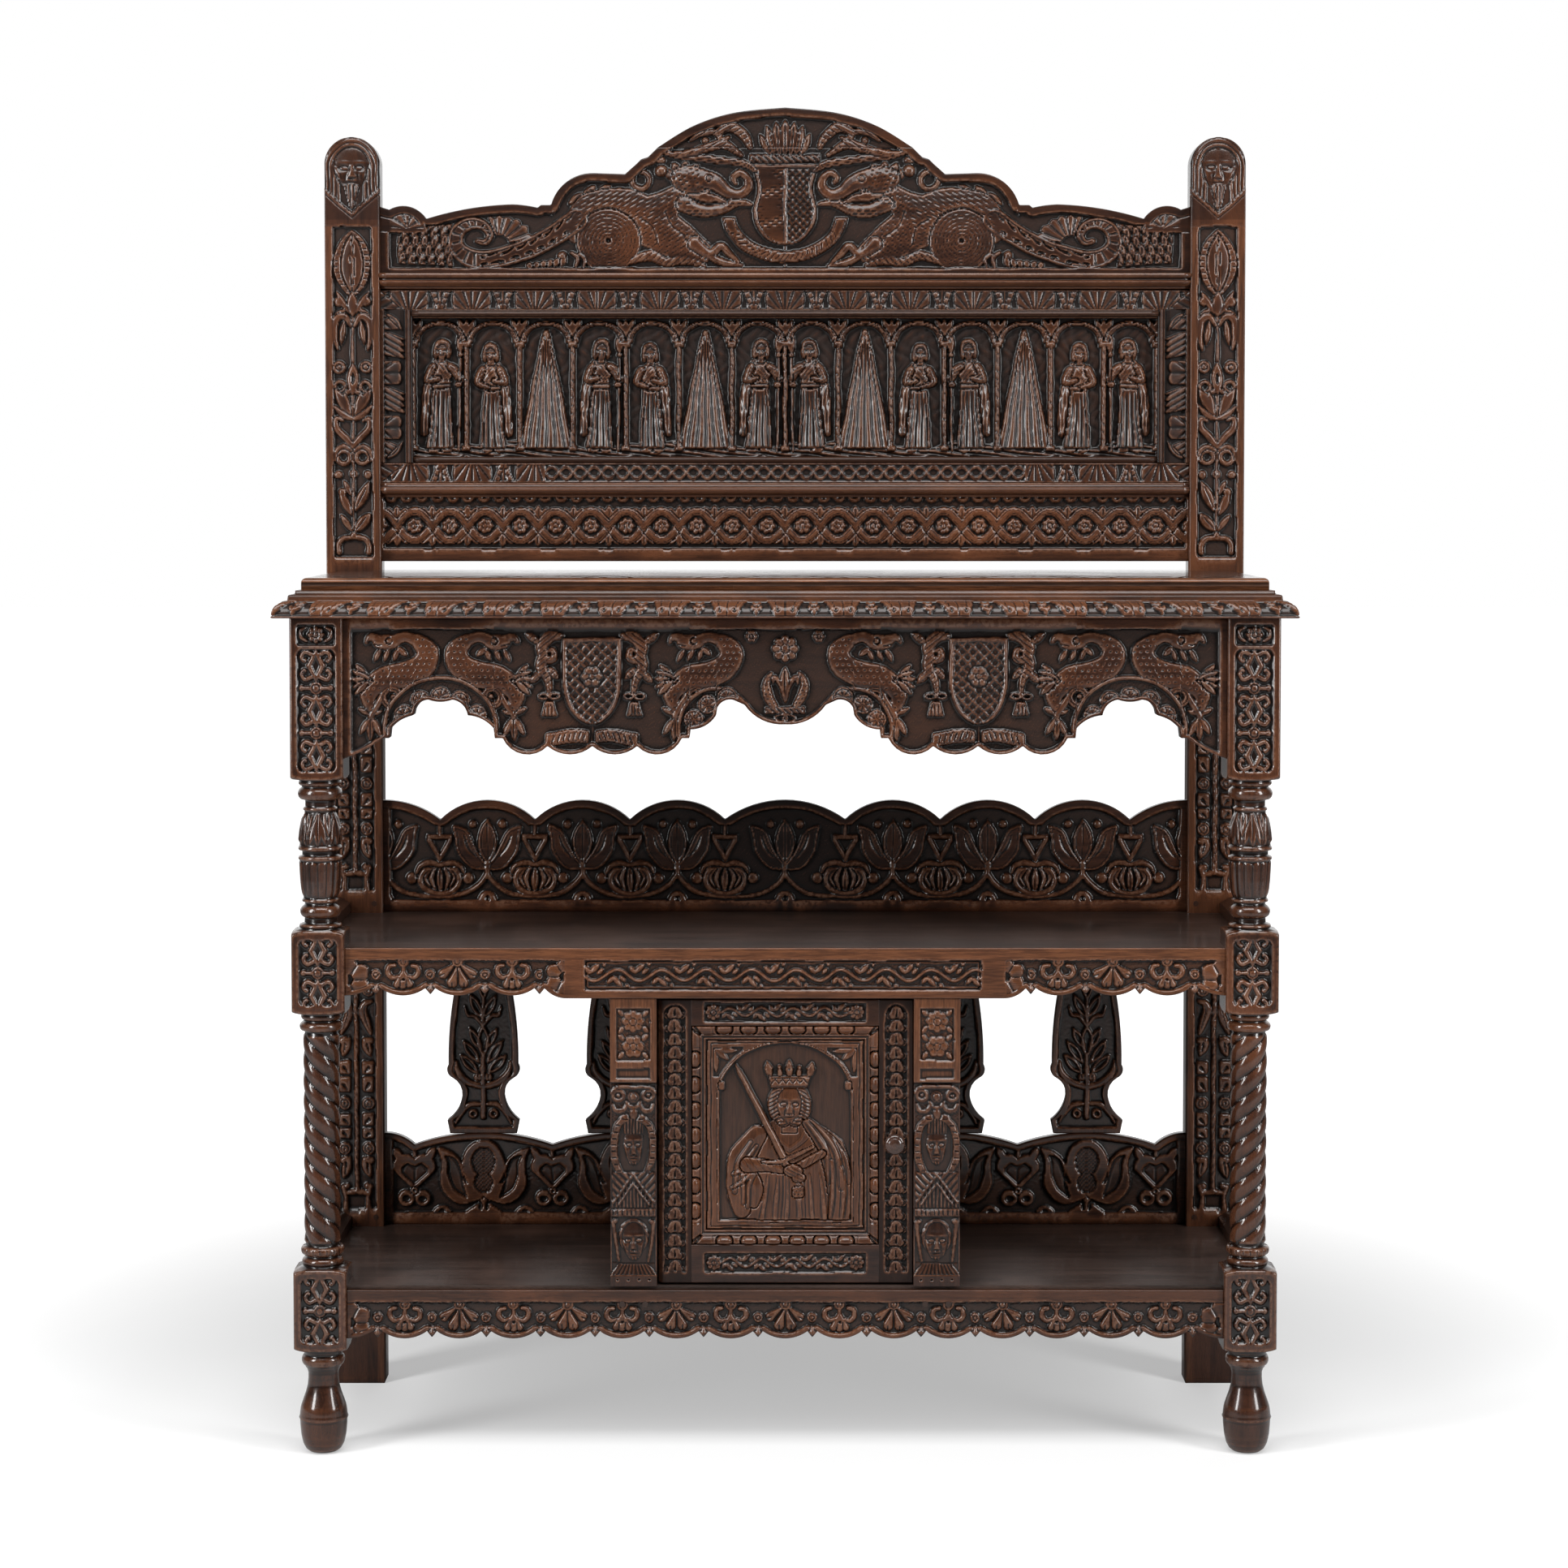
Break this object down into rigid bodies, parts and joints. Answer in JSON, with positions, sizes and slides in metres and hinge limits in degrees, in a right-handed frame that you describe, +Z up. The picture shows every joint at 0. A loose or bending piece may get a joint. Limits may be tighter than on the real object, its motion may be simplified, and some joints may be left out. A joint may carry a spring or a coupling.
{
  "type": "court cupboard",
  "caption": "Open two-stage carved oak court cupboard with twist-turned legs, lobed rails, central hinged door and tall arched back.",
  "frame": {"origin": "on the floor, under the middle of the bounding box", "axes": "+Z up, -Y the front, +X the right-hand side seen from the front"},
  "size_m": [1.405, 0.457, 1.904],
  "materials": {
    "carved_oak": "waxed, worn on the high carving",
    "plain_oak": "waxed boards",
    "warm_oak": "worn and polished",
    "iron": "dull black"
  },
  "bodies": {
    "carcass": {"back_post_left": "carved_oak", "back_post_right": "carved_oak", "bottom_apron": "carved_oak", "bottom_back_rail": "plain_oak", "bottom_shelf": "plain_oak", "bottom_shelf_cleats": "plain_oak", "bottom_side_rail_left": "carved_oak", "bottom_side_rail_right": "carved_oak", "cornice_front": "carved_oak", "cornice_left": "carved_oak", "cornice_right": "carved_oak", "crest_arch_board": "carved_oak", "crest_lower_board": "carved_oak", "crest_moulding": "carved_oak", "cupboard_back": "plain_oak", "cupboard_side_left": "plain_oak", "cupboard_side_right": "plain_oak", "frieze_front": "carved_oak", "frieze_left": "carved_oak", "frieze_right": "carved_oak", "front_leg_left": "carved_oak", "front_leg_right": "carved_oak", "lower_back_board": "carved_oak", "lower_band": "carved_oak", "middle_apron": "carved_oak", "middle_back_rail": "plain_oak", "middle_shelf": "plain_oak", "middle_shelf_cleats": "plain_oak", "middle_side_rail_left": "carved_oak", "middle_side_rail_right": "carved_oak", "name_rail": "carved_oak", "panel_moulding_bottom": "carved_oak", "panel_moulding_left": "carved_oak", "panel_moulding_right": "carved_oak", "panel_moulding_top": "carved_oak", "pilaster_left": "carved_oak", "pilaster_right": "carved_oak", "post_pegs": "warm_oak", "rail_moulding": "carved_oak", "relief_board": "carved_oak", "shelf_pegs": "warm_oak", "shell_band": "carved_oak", "splat_1": "carved_oak", "splat_2": "carved_oak", "splat_3": "carved_oak", "splat_4": "carved_oak", "top_board": "warm_oak", "tulip_board": "carved_oak", "upper_back_rail": "plain_oak"},
    "door": {"door_stile_left": "carved_oak", "door_stile_right": "carved_oak", "door_bottom_rail": "carved_oak", "door_top_rail": "carved_oak", "door_panel": "carved_oak", "door_moulding": "carved_oak", "pivot_pin_bottom": "iron", "pivot_pin_top": "iron"},
    "knob": {"knob": "warm_oak", "knob_spindle": "iron", "turn_catch": "warm_oak"}
  },
  "joints": [
    {"name": "door_swing", "type": "hinge", "parent": "carcass", "child": "door", "pos_m": [-0.166, -0.1755, 0.4375], "axis": [0, 0, -1], "range_deg": [0, 90]},
    {"name": "knob_turn", "type": "hinge", "parent": "door", "child": "knob", "pos_m": [0.1515, -0.1755, 0.437], "axis": [0, 1, 0], "range_deg": [0, 90]}
  ]
}
